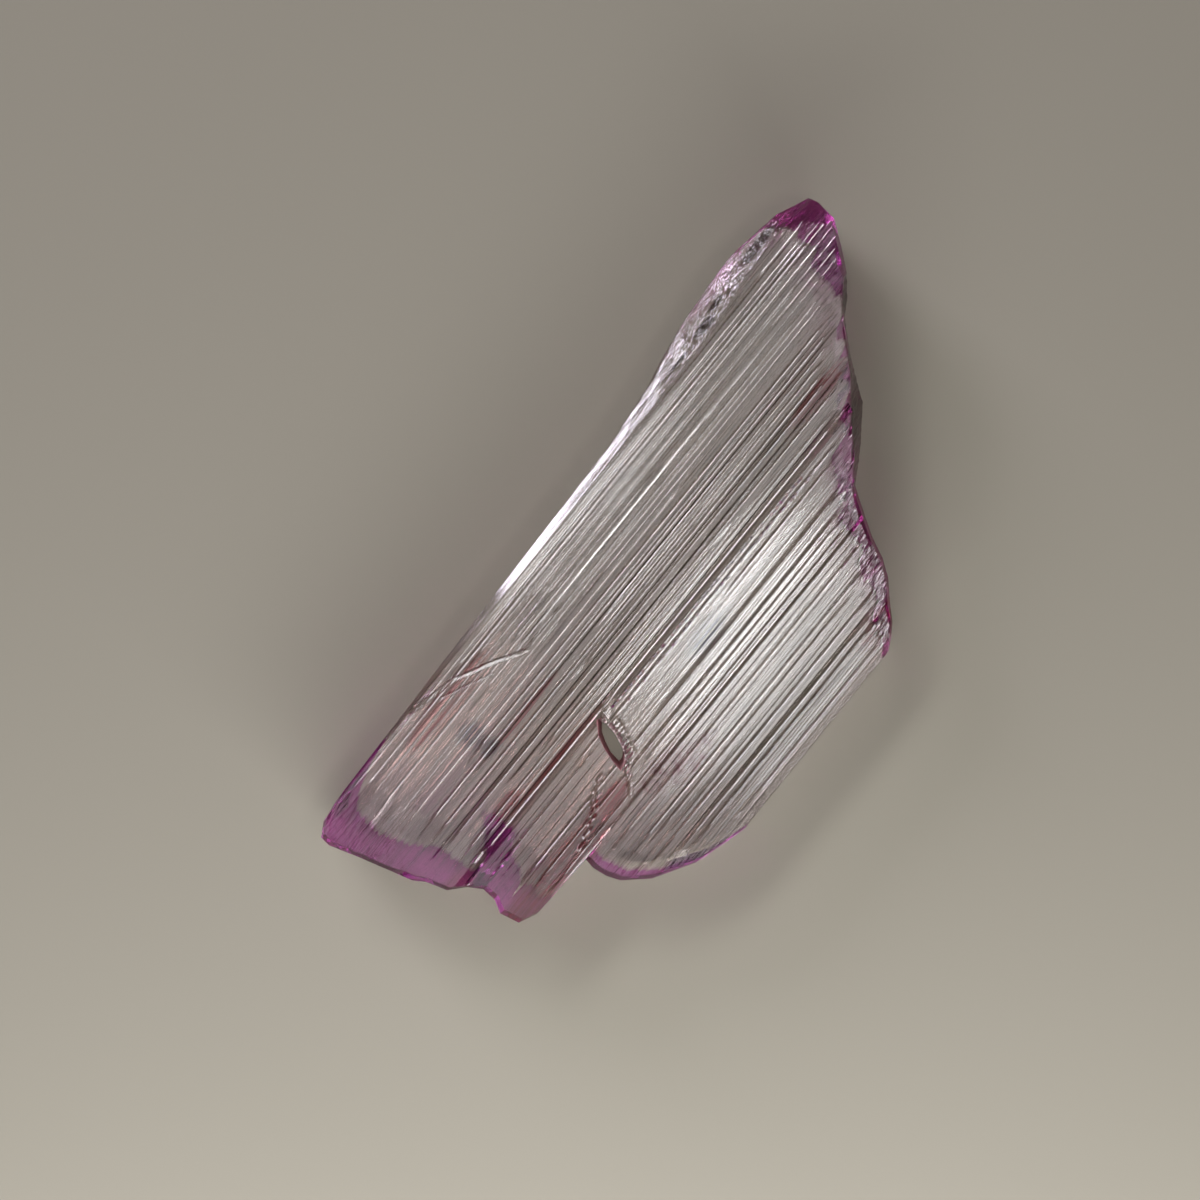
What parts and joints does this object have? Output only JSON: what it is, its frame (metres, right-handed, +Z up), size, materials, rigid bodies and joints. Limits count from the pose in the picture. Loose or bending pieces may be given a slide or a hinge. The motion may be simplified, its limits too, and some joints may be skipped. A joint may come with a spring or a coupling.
{
  "type": "kunzite crystal",
  "caption": "Flat striated kunzite crystal: a clear violet blade with broken, sloping lobes at both ends, lying on its broad back face.",
  "frame": {"origin": "centre of the crystal's box on the surface it lies on", "axes": "+X along the striations to the pointed tip, +Y across the blade to its bevelled left edge, +Z up out of the broad front face"},
  "size_m": [0.076, 0.0352, 0.0088],
  "materials": {
    "kunzite": "clear pale violet spodumene with glassy, finely striated prism faces and etched ends"
  },
  "bodies": {
    "root": {"kunzite_crystal": "kunzite"}
  },
  "joints": []
}
